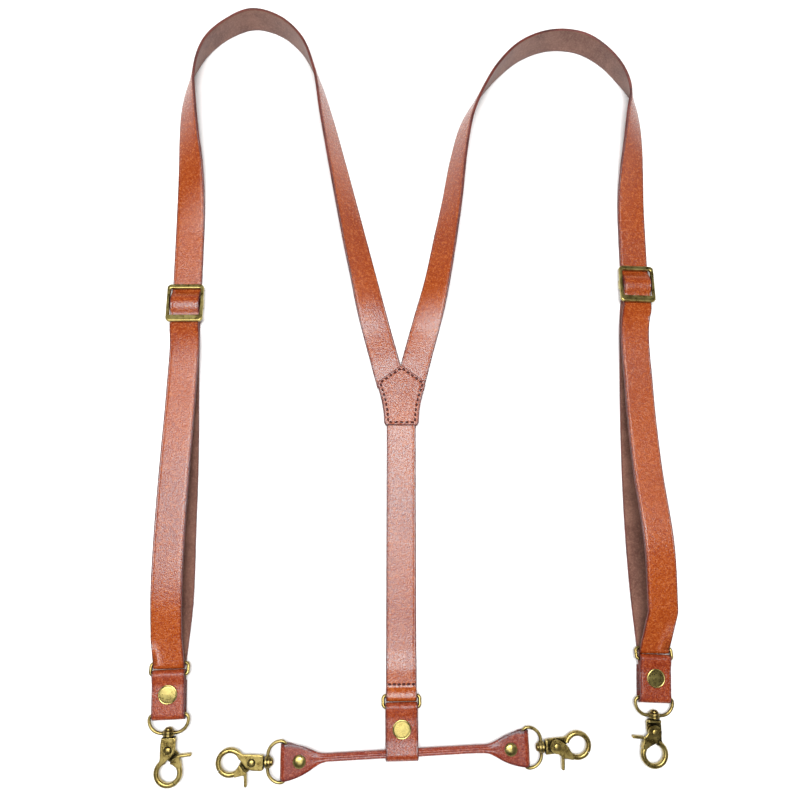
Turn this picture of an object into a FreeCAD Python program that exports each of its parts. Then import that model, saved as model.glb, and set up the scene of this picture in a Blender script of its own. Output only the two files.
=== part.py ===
import FreeCAD, Part
import math
import os

# Leather Y-back suspenders with four trigger snap hooks, laid out flat on a table.
# Millimetres. The origin is the middle of the yoke's underside, +Z points away from
# the table, +Y runs from the yoke towards the shoulder loops. The straps rest on z = 0.

V = FreeCAD.Vector
PI = math.pi
ARC_MID = 1 - math.sqrt(0.5)

# ---- leather ----
STRAP_W = 20.0
STRAP_T = 2.0
TAB_W = 21.0
TAB_T = 1.5
BACKING_T = 1.4
PATCH_T = 1.8
SAME_GAP = 0.05
BACK_FOLD_Z = 3.1

# ---- yoke ----
YOKE_APEX_Y = 21.9
YOKE_SHOULDER = (17.6, 9.3)
YOKE_WAIST = (13.2, -6.3)
YOKE_FOOT = (11.9, -21.7)
YOKE_CUT = 30.0
STITCH_INSET = 2.6
STITCH_LEN = 2.4
STITCH_PITCH = 3.7
STITCH_W = 1.0
STITCH_H = 0.5
ROW_PITCH = 3.1
ROW_COUNT = 6

# ---- slide adjuster ----
SLIDE_W = 25.3
SLIDE_L = 27.9
SLIDE_SIDE = 2.3
SLIDE_TOP_BAR = 3.3
SLIDE_FOOT_BAR = 4.9
SLIDE_T = 2.4
SLIDE_TILT = 7.4
SLIDE_MID_Z = 5.9
CENTRE_BAR_W = 3.0
CENTRE_BAR_T = 1.8
CENTRE_BAR_DROP = 2.3
SLIDES = {"left": (-151.2, 63.8, 1.0), "right": (169.9, 82.1, -1.5)}

# ---- oval rings ----
RING_W = 26.0
RING_SPACING = 7.0
RING_WIRE = 2.2
RING_CORNER = 2.0
RING_CLEAR = 0.5
RING_TILT = 16.5
STRAP_BAR_Z = STRAP_T + RING_CLEAR + RING_WIRE / 2
TAB_BAR_Z = STRAP_BAR_Z + RING_SPACING * math.sin(math.radians(RING_TILT))
RING_PLAN = RING_SPACING * math.cos(math.radians(RING_TILT))

# ---- snap tabs: origin on the ring's lower bar, running along local -Y ----
TABS = {
    "left": (-149.7, -183.4, 2.0),
    "right": (167.9, -176.6, -2.8),
    "centre": (-0.1, -204.9, 0.6),
}
TAB_FRONT_Z = 6.9
TAB_INNER_Z = 5.35
TAB_BACK_Z = 1.75
TAB_FOLD_S = 24.5
TAB_SNAP_S = 11.7
CENTRE_FOLD_S = 28.1
CENTRE_SNAP_S = 13.0
FLAP_END_S = 4.5
INNER_END_S = 20.0

# ---- snap fasteners ----
CAP_R = 6.0
CAP_H = 1.0
SOCKET_R = 5.6
SOCKET_BORE = 3.1
STUD_R = 2.8
STUD_BASE_R = 5.0
POST_R = 1.4
POST_BASE_R = 5.2

# ---- D-rings: origin in the swivel collar, bar on local +Y ----
D_WIRE = 2.1
D_HALF = 12.4
D_DEPTH = 11.2
D_CORNER = 3.0
D_BAR_Z = 4.33
COLLAR_R = 3.7
COLLAR_H = 3.6
COLLAR_BORE = 1.55

# ---- trigger hooks: same origin, hanging along local -Y ----
PIN_R = 1.5
PIN_HEAD_R = 2.5
PIN_DOME_H = 1.2
PIN_FOOT_Y = -3.9
HOOK_PIVOT_Y = -10.1
HOOK_RING_Y = -23.8
HOOK_RING_R = 9.0
HOOK_BORE_R = 5.8
HOOK_T = 3.8
HOOK_SPLIT = -56.0
HOOK_SPLIT_GAP = 3.4
PLATE_GAP = 0.1
HOOK_TOP_Y = -2.4
BLOCK_END_Y = -5.3
HUB_R = 4.3
RIVET_R = 1.2
RIVET_HEAD_R = 2.0
RIVET_POCKET_R = 2.7
RIVET_POCKET_DEPTH = 0.55
ARM_TOP_Z = -0.8
WINDOW_END_Y = -4.1
SPRING_R = 2.3
SPRING_WIRE = 0.4
SPRING_POCKET_H = 1.15

# ---- rolled cross strap: runs through the centre tab's foot ----
CORD_R = 2.6
CORD_Z = 4.9
CORD_CLEAR = 0.7
CORD_SLOPE = 2.26
CORD_Y = -233.0
CORD_END = 48.0
FLARE_HALF = 11.0
FLARE_T = 1.8
CROSS_BARS = {"left": (-74.0, -237.1, -90.0), "right": (79.2, -230.9, 92.0)}
CROSS_RIVET_BACK = 9.0
CROSS_RIVET_R = 4.2
CROSS_HOLE_R = 1.5

# Route of each shoulder strap: the edge that lies on the table, and the strap's roll
# about it in degrees, from flat at the yoke through upright over the shoulder.
ROUTES = {
    "left": [
        (2.6, 10.0, 0), (-1.6, 25.5, 0), (-9.4, 54.5, 3), (-17.4, 84.0, 22), (-25.5, 114.0, 33),
        (-33.7, 144.5, 44), (-42.1, 175.5, 54), (-51.0, 207.0, 65), (-62.0, 239.0, 82),
        (-75.0, 262.5, 91), (-91.0, 275.7, 94), (-110.5, 280.2, 95), (-128.0, 273.3, 90),
        (-143.2, 259.8, 86), (-156.0, 236.5, 70), (-161.2, 212.0, 50), (-161.8, 188.4, 37),
        (-161.3, 165.0, 22), (-161.2, 140.0, 8), (-161.2, 115.0, 0), (-161.2, 95.0, 0),
    ],
    "right": [
        (-3.4, 10.0, 0), (0.5, 25.6, 0), (8.4, 54.7, 8), (17.1, 84.5, 30), (23.8, 114.8, 40),
        (30.7, 145.8, 51), (36.9, 177.3, 61), (47.0, 209.7, 73), (58.3, 228.0, 83),
        (72.6, 245.4, 93), (91.0, 261.0, 99), (115.0, 269.7, 99), (136.0, 267.8, 97),
        (153.2, 257.8, 91), (165.6, 244.4, 84), (176.5, 228.0, 64), (180.0, 211.0, 46),
        (181.1, 192.0, 33), (180.7, 168.0, 17), (180.0, 145.0, 5), (179.9, 113.0, 0),
    ],
}
# Front layer between slide and oval ring, as (share of the way, sideways shift, height).
BOWS = {
    "left": [(0.09, 0.7, 6.2), (0.25, 1.2, 9.5), (0.48, 0.0, 13.5), (0.68, -1.0, 15.2),
             (0.83, -1.2, 14.4), (0.93, -1.3, 9.5)],
    "right": [(0.09, -1.8, 6.5), (0.30, -4.0, 10.5), (0.52, -3.4, 17.0), (0.74, -0.4, 24.0),
              (0.90, 2.4, 17.5)],
}
# Return layer on the table, as (share of the way, sideways shift), from the ring up.
RETURNS = {
    "left": [(0.85, 2.9), (0.65, 2.9), (0.45, 2.6), (0.25, 1.0), (0.09, 0.0)],
    "right": [(0.85, -3.0), (0.65, -4.9), (0.45, -4.9), (0.25, -3.6), (0.09, -1.8)],
}
FOLD_SHIFT = {"left": -0.35, "right": 0.2}


# ---------------------------------------------------------------- helpers
def place(shape, x, y, z, yaw=0.0, flip=False):
    """Put a local shape into the world: optional half turn about its own Y, then yaw."""
    out = shape.copy()
    if flip:
        out.rotate(V(0, 0, 0), V(0, 1, 0), 180)
    out.rotate(V(0, 0, 0), V(0, 0, 1), yaw)
    out.translate(V(x, y, z))
    return out


def cylinder(radius, height, base, axis=(0, 0, 1)):
    return Part.makeCylinder(radius, height, V(*base), V(*axis))


def box(x0, x1, y0, y1, z0, z1):
    return Part.makeBox(x1 - x0, y1 - y0, z1 - z0, V(x0, y0, z0))


def lathe(points, centre=(0, 0, 0)):
    """Solid of revolution about Z from (radius, height) points."""
    corners = [V(r, 0, z) for r, z in points]
    corners.append(corners[0])
    solid = Part.Face(Part.makePolygon(corners)).revolve(V(0, 0, 0), V(0, 0, 1), 360)
    solid.translate(V(*centre))
    return solid


def dome_points(radius, base_z, height, steps=8):
    """Profile of a low dome from its rim to its crown."""
    turns = [PI / 2 * i / steps for i in range(steps + 1)]
    return [(radius * math.cos(a), base_z + height * math.sin(a)) for a in turns]


def smooth_curve(points, per_span):
    """Smooth curve through points of any number of coordinates, even where spans differ in length."""
    spans = [max(math.dist(a[:2], b[:2]), 0.01) for a, b in zip(points, points[1:])]
    slopes = [tuple((v - u) / h for u, v in zip(a, b)) for a, b, h in zip(points, points[1:], spans)]
    tangents = [slopes[0]]
    for before, after, h0, h1 in zip(slopes, slopes[1:], spans, spans[1:]):
        tangents.append(tuple((h1 * u + h0 * v) / (h0 + h1) for u, v in zip(before, after)))
    tangents.append(slopes[-1])
    out = []
    for i, h in enumerate(spans):
        for k in range(per_span):
            t = k / per_span
            out.append(tuple(
                a * (2 * t ** 3 - 3 * t ** 2 + 1) + b * (3 * t ** 2 - 2 * t ** 3)
                + h * (m * (t ** 3 - 2 * t ** 2 + t) + n * (t ** 3 - t ** 2))
                for a, b, m, n in zip(points[i], points[i + 1], tangents[i], tangents[i + 1])))
    out.append(tuple(points[-1]))
    return out


def ribbon(stations):
    """Solid strip from (centre, width direction, half width, half thickness) stations."""
    wires = []
    last = len(stations) - 1
    for i, (centre, across, half_w, half_t) in enumerate(stations):
        along = stations[min(i + 1, last)][0] - stations[max(i - 1, 0)][0]
        normal = along.cross(across)
        normal.normalize()
        corners = [
            centre + across * a * half_w + normal * b * half_t
            for a, b in ((-1, -1), (1, -1), (1, 1), (-1, 1))]
        wires.append(Part.makePolygon(corners + [corners[0]]))
    return Part.makeLoft(wires, True, True)


def arc_points(centre_y, centre_z, radius, start, end, steps=8):
    """Points (y, z) on an arc, angles in degrees from local +Y towards +Z."""
    out = []
    for i in range(steps + 1):
        a = math.radians(start + (end - start) * i / steps)
        out.append((centre_y + radius * math.cos(a), centre_z + radius * math.sin(a)))
    return out


def strip_yz(points, half_w, half_t):
    """Strip whose middle line is given in the YZ plane and whose width runs along X."""
    return ribbon([(V(0, y, z), V(1, 0, 0), half_w, half_t) for y, z in points])


def wire_rod(path, radius):
    """Round rod swept along a closed planar path whose first edge leaves its start along X."""
    start = path.Vertexes[0].Point
    profile = Part.Wire(Part.makeCircle(radius, start, V(1, 0, 0)))
    return path.makePipeShell([profile], True, False)


def save(name, shape):
    shape.exportStep("parts/" + name + ".step")


# ---------------------------------------------------------------- shoulder straps
def shoulder_stations(side):
    """Stations of one shoulder strap from the yoke to just above the slide."""
    inward = -1 if side == "left" else 1
    points = smooth_curve(ROUTES[side], 4)
    stations = []
    last = len(points) - 1
    for i, (x, y, roll) in enumerate(points):
        ahead = points[min(i + 1, last)]
        behind = points[max(i - 1, 0)]
        run = V(ahead[0] - behind[0], ahead[1] - behind[1], 0)
        run.normalize()
        sideways = V(-run.y, run.x, 0) * -inward
        r = math.radians(max(roll, 0.0))
        across = sideways * math.cos(r) + V(0, 0, 1) * math.sin(r)
        lift = (BACKING_T + SAME_GAP) * max(0.0, min(1.0, (48 - y) / 20)) if abs(x) < 60 else 0.0
        rise = STRAP_W / 2 * math.sin(r) + STRAP_T / 2 * abs(math.cos(r)) + lift
        centre = V(x, y, 0) + sideways * (STRAP_W / 2 * math.cos(r)) + V(0, 0, rise)
        stations.append((centre, across * -inward, STRAP_W / 2, STRAP_T / 2))
    return stations


def loop_points(side):
    """Middle line (x, y, z, half thickness) through the slide, round the ring and back."""
    sx, sy, _ = SLIDES[side]
    ring_x = TABS[side][0] + FOLD_SHIFT[side]
    ring_y = TABS[side][1] + RING_PLAN
    half = STRAP_T / 2
    front = [(16.5, 1.05), (12.5, 1.2), (9.0, 2.2), (4.0, 5.9), (0.5, 6.95),
             (-3.5, 6.4), (-7.0, 4.9), (-9.5, 4.45), (-12.5, 4.4), (-16.5, 5.1)]
    out = [(sx, sy + dy, z, half) for dy, z in front]
    reach = sy - ring_y
    for share, shift, z in BOWS[side]:
        out.append((sx + (ring_x - sx) * share + shift, sy - reach * share, z, half))
    out = smooth_curve(out, 3)
    fold_r = STRAP_BAR_Z - half
    for y, z in arc_points(ring_y, STRAP_BAR_Z, fold_r, 90, 270, 10):
        out.append((ring_x, y, z, half))
    for share, shift in RETURNS[side]:
        out.append((sx + (ring_x - sx) * share + shift, sy - reach * share, half, half))
    out.append((sx, sy - 3.0, half, half))
    out.append((sx, sy - 1.0, 0.9, 0.8))
    for y, z in arc_points(sy + 1.6, 3.1, 2.25, -90, 90, 8):
        out.append((sx, y, z, 0.5))
    out += [(sx, sy - 1.5, 5.25, 0.45), (sx, sy - 5.0, 3.6, 0.45), (sx, sy - 8.0, 2.65, 0.45),
            (sx, sy - 17.0, 2.6, 0.45)]
    return out


def shoulder_strap(side):
    stations = shoulder_stations(side)
    top_y = SLIDES[side][1] - SLIDE_L
    reach = top_y - TABS[side][1]
    for x, y, z, half in loop_points(side):
        lean = math.radians(TABS[side][2] / 2) * max(0.0, min(1.0, (top_y - y) / reach))
        stations.append((V(x, y, z), V(math.cos(lean), math.sin(lean), 0), STRAP_W / 2, half))
    strap = ribbon(stations)
    near, far = (-SAME_GAP, YOKE_CUT) if side == "left" else (-YOKE_CUT, SAME_GAP)
    strap = strap.cut(box(near, far, -YOKE_CUT, YOKE_CUT, -1, YOKE_CUT))
    return strap.cut(box(-YOKE_CUT, YOKE_CUT, -YOKE_CUT, SAME_GAP, -1, YOKE_CUT))


# ---------------------------------------------------------------- yoke and back strap
def yoke_outline(inset=0.0):
    """Five-sided outline with hollow flanks, as a closed wire."""
    k = inset
    ax = V(0, YOKE_APEX_Y - 1.15 * k, 0)
    sx, sy = YOKE_SHOULDER[0] - 1.05 * k, YOKE_SHOULDER[1] - 0.35 * k
    wx, wy = YOKE_WAIST[0] - k, YOKE_WAIST[1]
    fx, fy = YOKE_FOOT[0] - k, YOKE_FOOT[1] + k
    right = [V(sx, sy, 0), V(wx, wy, 0), V(fx, fy, 0)]
    left = [V(-p.x, p.y, 0) for p in right]
    edges = [
        Part.makeLine(ax, right[0]),
        Part.Arc(right[0], right[1], right[2]).toShape(),
        Part.makeLine(right[2], left[2]),
        Part.Arc(left[2], left[1], left[0]).toShape(),
        Part.makeLine(left[0], ax),
    ]
    return Part.Wire(edges)


def plate_from(wire, z0, thickness, rounding):
    solid = Part.Face(wire).extrude(V(0, 0, thickness))
    upright = [e for e in solid.Edges if abs(e.BoundBox.ZLength - thickness) < 1e-6]
    solid = solid.makeFillet(rounding, upright)
    solid.translate(V(0, 0, z0))
    return solid


def stitch(x, y, z, angle):
    """One visible stitch: a short thread bar with rounded ends."""
    bar = box(-STITCH_LEN / 2, STITCH_LEN / 2, -STITCH_W / 2, STITCH_W / 2, 0, STITCH_H)
    bar = bar.makeFillet(STITCH_W * 0.45, [e for e in bar.Edges if e.BoundBox.ZLength > 0.1])
    bar.rotate(V(0, 0, 0), V(0, 0, 1), angle)
    bar.translate(V(x, y, z))
    return bar


def stitch_row(x, y, z):
    """Straight row of stitches across a strap."""
    middle = (ROW_COUNT - 1) / 2
    return Part.makeCompound([stitch(x + (i - middle) * ROW_PITCH, y, z, 0) for i in range(ROW_COUNT)])


def yoke_stitches():
    top = BACKING_T + STRAP_T + PATCH_T + 2 * SAME_GAP
    seam = yoke_outline(STITCH_INSET)
    out = []
    for edge in seam.Edges:
        count = max(2, round(edge.Length / STITCH_PITCH))
        for i in range(count):
            t = edge.getParameterByLength(edge.Length * (i + 0.5) / count)
            p = edge.valueAt(t)
            d = edge.tangentAt(t)
            out.append(stitch(p.x, p.y, top, math.degrees(math.atan2(d.y, d.x))))
    return Part.makeCompound(out)


def back_strap():
    """Centre strap: yoke, down the back, round the oval ring, end folded under and sewn."""
    x, tab_y, _ = TABS["centre"]
    bar_y = tab_y + RING_PLAN
    half = STRAP_T / 2
    lifted = half + BACKING_T + SAME_GAP
    run = [(-SAME_GAP, lifted), (-22.0, lifted), (-40.0, half), (bar_y + 42, half),
           (bar_y + 16, BACK_FOLD_Z), (bar_y + 5.5, BACK_FOLD_Z), (bar_y + 2.5, 4.9)]
    fold_r = STRAP_BAR_Z - half
    points = run + arc_points(bar_y, STRAP_BAR_Z, fold_r, 90, 270, 10)
    points += [(bar_y + 7, half), (bar_y + 15.0, half)]
    strip = strip_yz(points, STRAP_W / 2, half)
    strip.translate(V(x, 0, 0))
    return strip


def back_strap_stitches():
    x, tab_y, _ = TABS["centre"]
    y = tab_y + RING_PLAN + 7.0
    return stitch_row(x, y, BACK_FOLD_Z + STRAP_T / 2 + SAME_GAP)


# ---------------------------------------------------------------- slide adjuster
def slide():
    """Square slide with a recessed centre bar; the foot bar is the broad one."""
    frame = box(-SLIDE_W / 2, SLIDE_W / 2, -SLIDE_L / 2, SLIDE_L / 2, 0, SLIDE_T)
    inner_x = SLIDE_W / 2 - SLIDE_SIDE
    top_y = SLIDE_L / 2 - SLIDE_TOP_BAR
    foot_y = -SLIDE_L / 2 + SLIDE_FOOT_BAR
    hole = box(-inner_x, inner_x, foot_y, top_y, -1, SLIDE_T + 1)
    hole = hole.makeFillet(1.0, [e for e in hole.Edges if e.BoundBox.ZLength > 1])
    frame = frame.makeFillet(3.0, [e for e in frame.Edges if e.BoundBox.ZLength > 1])
    frame = frame.cut(hole)
    rim = [e for e in frame.Edges if e.BoundBox.ZLength < 1e-6]
    frame = frame.makeFillet(0.85, rim)
    cheek_low = -CENTRE_BAR_DROP - CENTRE_BAR_T / 2 + SLIDE_T / 2
    for side in (-1, 1):
        x0 = side * inner_x if side > 0 else -SLIDE_W / 2 + 0.3
        cheek = box(x0, x0 + SLIDE_SIDE - 0.3, -3.2, 3.2, cheek_low, SLIDE_T / 2)
        frame = frame.fuse(cheek)
    bar = box(-inner_x - 0.5, inner_x + 0.5, -CENTRE_BAR_W / 2, CENTRE_BAR_W / 2,
              cheek_low, cheek_low + CENTRE_BAR_T)
    bar = bar.makeFillet(0.6, [e for e in bar.Edges if e.BoundBox.XLength > 5])
    frame = frame.fuse(bar).removeSplitter()
    frame.translate(V(0, 0, -SLIDE_T / 2))
    frame.rotate(V(0, 0, 0), V(1, 0, 0), -SLIDE_TILT)
    return frame


def end_stitches(side):
    """Row of stitches that closes the strap's end round the slide's centre bar."""
    sx, sy, _ = SLIDES[side]
    return stitch_row(sx, sy - 15.5, 3.15)


# ---------------------------------------------------------------- oval ring
def rounded_loop(half_w, y0, y1, corner):
    """Closed wire: rectangle from y0 to y1 with rounded corners, starting mid bottom."""
    x = half_w - corner
    k = corner * ARC_MID
    pieces = [
        Part.makeLine(V(0, y0, 0), V(x, y0, 0)),
        Part.Arc(V(x, y0, 0), V(half_w - k, y0 + k, 0), V(half_w, y0 + corner, 0)).toShape(),
        Part.makeLine(V(half_w, y0 + corner, 0), V(half_w, y1 - corner, 0)),
        Part.Arc(V(half_w, y1 - corner, 0), V(half_w - k, y1 - k, 0), V(x, y1, 0)).toShape(),
        Part.makeLine(V(x, y1, 0), V(-x, y1, 0)),
        Part.Arc(V(-x, y1, 0), V(k - half_w, y1 - k, 0), V(-half_w, y1 - corner, 0)).toShape(),
        Part.makeLine(V(-half_w, y1 - corner, 0), V(-half_w, y0 + corner, 0)),
        Part.Arc(V(-half_w, y0 + corner, 0), V(k - half_w, y0 + k, 0), V(-x, y0, 0)).toShape(),
        Part.makeLine(V(-x, y0, 0), V(0, y0, 0)),
    ]
    return Part.Wire(pieces)


def oval_ring():
    """Origin on the lower bar; the upper bar lies towards +Y and a little lower."""
    path = rounded_loop((RING_W - RING_WIRE) / 2, 0, RING_SPACING, RING_CORNER)
    ring = wire_rod(path, RING_WIRE / 2)
    ring.rotate(V(0, 0, 0), V(1, 0, 0), -RING_TILT)
    return ring


# ---------------------------------------------------------------- snap tab
def tab_front(fold_s, front_z, foot_z, foot_r):
    """Front layer with the folds at both ends and the short inner layer."""
    half = TAB_T / 2
    ring_r = RING_WIRE / 2 + RING_CLEAR + half
    inner = [(-INNER_END_S, TAB_INNER_Z), (-5.8, TAB_INNER_Z), (-2.8, TAB_BAR_Z - ring_r + 0.5)]
    top = arc_points(0, TAB_BAR_Z, ring_r, 270, 90, 10)
    top = [(abs(y), z) for y, z in top]
    face = [(-2.4, TAB_BAR_Z + ring_r - 0.4), (-5.4, front_z), (-fold_s + 6.0, front_z)]
    foot = [(-2 * fold_s - y, z) for y, z in arc_points(-fold_s, foot_z, foot_r, 90, -78, 10)]
    return strip_yz(inner + top + face + foot, TAB_W / 2, half)


def tab_flap(fold_s, foot_z, foot_r):
    """Back layer that swings open; it starts at the fold and carries the stud."""
    low = foot_z - foot_r
    start = -fold_s + 0.42
    points = [(start, low), (start + 4.0, (low + TAB_BACK_Z) / 2), (-19.0, TAB_BACK_Z),
              (-FLAP_END_S, TAB_BACK_Z)]
    return strip_yz(points, TAB_W / 2, TAB_T / 2)


def snap_cap(front_z):
    base = front_z + TAB_T / 2 + SAME_GAP
    deep = TAB_INNER_Z - TAB_T / 2 - 0.3
    top = base + CAP_H
    rim = [(CAP_R, base), (CAP_R, top - 0.35), (CAP_R - 0.15, top - 0.1), (CAP_R - 0.45, top),
           (CAP_R - 0.75, top - 0.08), (CAP_R - 0.95, top - 0.3)]
    crown = [(CAP_R - 1.6, top - 0.25), (0, top - 0.15)]
    return lathe([(0, deep), (POST_R, deep), (POST_R, base)] + rim + crown)


def snap_socket():
    top = TAB_INNER_Z - TAB_T / 2 - SAME_GAP
    low = 3.25
    roof = 4.3
    return lathe([(POST_R + 0.05, top), (SOCKET_R, top), (SOCKET_R, low + 0.4), (SOCKET_R - 0.4, low),
                  (SOCKET_BORE, low), (SOCKET_BORE, roof), (POST_R + 0.05, roof)])


def snap_stud():
    base = TAB_BACK_Z + TAB_T / 2 + SAME_GAP
    return lathe([(POST_R, base), (STUD_BASE_R, base), (STUD_BASE_R, base + 0.3),
                  (STUD_R - 0.3, base + 0.35), (STUD_R - 0.3, 3.2), (STUD_R, 3.5), (STUD_R - 0.2, 3.9),
                  (POST_R, 3.95)])


def snap_post():
    low = 0.15
    top = TAB_BACK_Z - TAB_T / 2 - SAME_GAP
    return lathe([(0, low), (POST_BASE_R - 0.3, low), (POST_BASE_R, low + 0.25), (POST_BASE_R, top),
                  (POST_R - 0.05, top), (POST_R - 0.05, 3.8), (0, 3.8)])


# ---------------------------------------------------------------- D-ring and hook
def d_ring():
    """Cast D with a swivel collar in the middle of its bow."""
    bow = D_DEPTH - D_CORNER
    flat = D_HALF - bow
    bar = D_HALF - D_CORNER
    bow_mid = (D_HALF - bow * ARC_MID, bow * ARC_MID)
    corner_mid = (D_HALF - D_CORNER * ARC_MID, D_DEPTH - D_CORNER * ARC_MID)
    path = Part.Wire([
        Part.makeLine(V(0, 0, 0), V(flat, 0, 0)),
        Part.Arc(V(flat, 0, 0), V(*bow_mid, 0), V(D_HALF, bow, 0)).toShape(),
        Part.Arc(V(D_HALF, bow, 0), V(*corner_mid, 0), V(bar, D_DEPTH, 0)).toShape(),
        Part.makeLine(V(bar, D_DEPTH, 0), V(-bar, D_DEPTH, 0)),
        Part.Arc(V(-bar, D_DEPTH, 0), V(-corner_mid[0], corner_mid[1], 0), V(-D_HALF, bow, 0)).toShape(),
        Part.Arc(V(-D_HALF, bow, 0), V(-bow_mid[0], bow_mid[1], 0), V(-flat, 0, 0)).toShape(),
        Part.makeLine(V(-flat, 0, 0), V(0, 0, 0)),
    ])
    ring = wire_rod(path, D_WIRE / 2)
    collar = lathe([
        (0, -COLLAR_H / 2), (COLLAR_R - 0.5, -COLLAR_H / 2), (COLLAR_R, -COLLAR_H / 2 + 0.4),
        (COLLAR_R, -0.55), (COLLAR_R - 0.4, -0.2), (COLLAR_R - 0.4, 0.2), (COLLAR_R, 0.55),
        (COLLAR_R, COLLAR_H / 2 - 0.4), (COLLAR_R - 0.5, COLLAR_H / 2), (0, COLLAR_H / 2)])
    collar.rotate(V(0, 0, 0), V(1, 0, 0), 90)
    ring = ring.fuse(collar)
    bore = cylinder(COLLAR_BORE, 12, (0, -6, 0), (0, 1, 0))
    return ring.cut(bore)


def swivel_pin():
    """Pin from the hook's block through the collar, with a domed head inside the D."""
    head = COLLAR_H / 2 + 0.15
    pin = lathe([(0, PIN_FOOT_Y), (PIN_R, PIN_FOOT_Y), (PIN_R, head - 0.02), (PIN_HEAD_R, head)]
                + dome_points(PIN_HEAD_R, head + 0.5, PIN_DOME_H))
    pin.rotate(V(0, 0, 0), V(1, 0, 0), -90)
    return pin


def jaw(start, end):
    """Part of the hook's rounded ring between two angles."""
    half = HOOK_T / 2
    outer_round = 1.55
    inner_round = 1.2
    k = ARC_MID
    r0, r1 = HOOK_BORE_R, HOOK_RING_R
    section = Part.Wire([
        Part.makeLine(V(r0, 0, -half + inner_round), V(r0, 0, half - inner_round)),
        Part.Arc(V(r0, 0, half - inner_round), V(r0 + inner_round * k, 0, half - inner_round * k),
                 V(r0 + inner_round, 0, half)).toShape(),
        Part.makeLine(V(r0 + inner_round, 0, half), V(r1 - outer_round, 0, half)),
        Part.Arc(V(r1 - outer_round, 0, half), V(r1 - outer_round * k, 0, half - outer_round * k),
                 V(r1, 0, half - outer_round)).toShape(),
        Part.makeLine(V(r1, 0, half - outer_round), V(r1, 0, -half + outer_round)),
        Part.Arc(V(r1, 0, -half + outer_round), V(r1 - outer_round * k, 0, -half + outer_round * k),
                 V(r1 - outer_round, 0, -half)).toShape(),
        Part.makeLine(V(r1 - outer_round, 0, -half), V(r0 + inner_round, 0, -half)),
        Part.Arc(V(r0 + inner_round, 0, -half), V(r0 + inner_round * k, 0, -half + inner_round * k),
                 V(r0, 0, -half + inner_round)).toShape(),
    ])
    solid = Part.Face(section).revolve(V(0, 0, 0), V(0, 0, 1), end - start)
    solid.rotate(V(0, 0, 0), V(0, 0, 1), start)
    solid.translate(V(0, HOOK_RING_Y, 0))
    return solid


def outline_plate(points, z0, z1, rounding, top_only):
    """Plate with a smooth closed outline and rounded rims."""
    curve = Part.BSplineCurve()
    curve.interpolate([V(x, y, z0) for x, y in points], PeriodicFlag=True)
    solid = Part.Face(Part.Wire(curve.toShape())).extrude(V(0, 0, z1 - z0))
    rim = [e for e in solid.Edges if e.BoundBox.ZLength < 1e-6
           and (not top_only or abs(e.BoundBox.ZMin - z1) < 1e-6)]
    return solid.makeFillet(rounding, rim)


def corner_plate(points, z0, z1, corner, rounding):
    """Plate with a polygon outline, rounded corners and rounded rims."""
    corners = [V(x, y, z0) for x, y in points]
    solid = Part.Face(Part.makePolygon(corners + [corners[0]])).extrude(V(0, 0, z1 - z0))
    solid = solid.makeFillet(corner, [e for e in solid.Edges if e.BoundBox.ZLength > 1e-3])
    return solid.makeFillet(rounding, [e for e in solid.Edges if e.BoundBox.ZLength < 1e-6])


def hook_body():
    """Block with the swivel socket, the pivot plate and the fixed jaw."""
    half = HOOK_T / 2
    plate = outline_plate([
        (-4.3, -3.4), (-4.75, -6.5), (-4.95, -10.5), (-5.0, -13.7), (-5.5, -16.6), (-6.6, -19.0),
        (-5.6, -19.8), (-3.6, -18.9), (-2.1, -17.7), (0.0, -16.0), (2.0, -14.4), (3.6, -12.2),
        (4.6, -9.6), (4.8, -6.5), (4.6, -3.4), (2.5, -2.6), (-2.2, -2.6)], PLATE_GAP, half, 0.55, True)
    block = box(-4.3, 4.6, BLOCK_END_Y, HOOK_TOP_Y, -half, half)
    block = block.makeFillet(0.9, block.Edges)
    body = jaw(108, 360 + HOOK_SPLIT - HOOK_SPLIT_GAP / 2)
    body = body.fuse(plate).fuse(block)
    body = body.cut(cylinder(RIVET_R + 0.03, 12, (0, HOOK_PIVOT_Y, -6)))
    body = body.cut(cylinder(RIVET_POCKET_R, 2, (0, HOOK_PIVOT_Y, half - RIVET_POCKET_DEPTH)))
    window = box(-HOOK_RING_R, HOOK_RING_R, BLOCK_END_Y - 1, WINDOW_END_Y, -half - 1, PLATE_GAP)
    body = body.cut(window)
    return body.cut(cylinder(PIN_R, 4, (0, PIN_FOOT_Y, 0), (0, 1, 0)))


def hook_lever():
    """Hub plate on the pivot, the moving jaw and the thumb tab."""
    half = HOOK_T / 2
    cy = HOOK_PIVOT_Y
    hub = cylinder(HUB_R, half - PLATE_GAP, (0, cy, -half))
    arm = outline_plate([
        (-3.4, -12.6), (-1.6, -15.6), (1.2, -18.0), (3.6, -18.4), (6.6, -17.0), (7.4, -15.2),
        (6.3, -13.0), (4.4, -10.6), (2.0, -8.8), (-1.0, -9.4)], -half, ARM_TOP_Z, 0.4, False)
    wedge = corner_plate([
        (0.9, -17.9), (6.2, -13.2), (7.6, -13.4), (7.6, -16.0), (8.6, -20.5), (6.3, -21.5),
        (3.0, -18.9)], -half, half, 0.7, 0.5)
    tab = box(6.6, 14.6, -14.8, -13.0, -half * 0.9, half * 0.9)
    tab = tab.makeFillet(0.7, tab.Edges)
    tab.rotate(V(6.6, -13.8, 0), V(0, 0, 1), 3)
    lever = jaw(HOOK_SPLIT + HOOK_SPLIT_GAP / 2, 44)
    for piece in (wedge, arm, hub, tab):
        lever = lever.fuse(piece)
    clear_plate = cylinder(6.9, 4, (0, cy, -PLATE_GAP))
    lever = lever.cut(clear_plate)
    spring_pocket = cylinder(SPRING_R + 0.55, SPRING_POCKET_H, (0, cy, -SPRING_POCKET_H - PLATE_GAP))
    lever = lever.cut(spring_pocket)
    return lever.cut(cylinder(RIVET_R + 0.06, 12, (0, cy, -6)))


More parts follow.
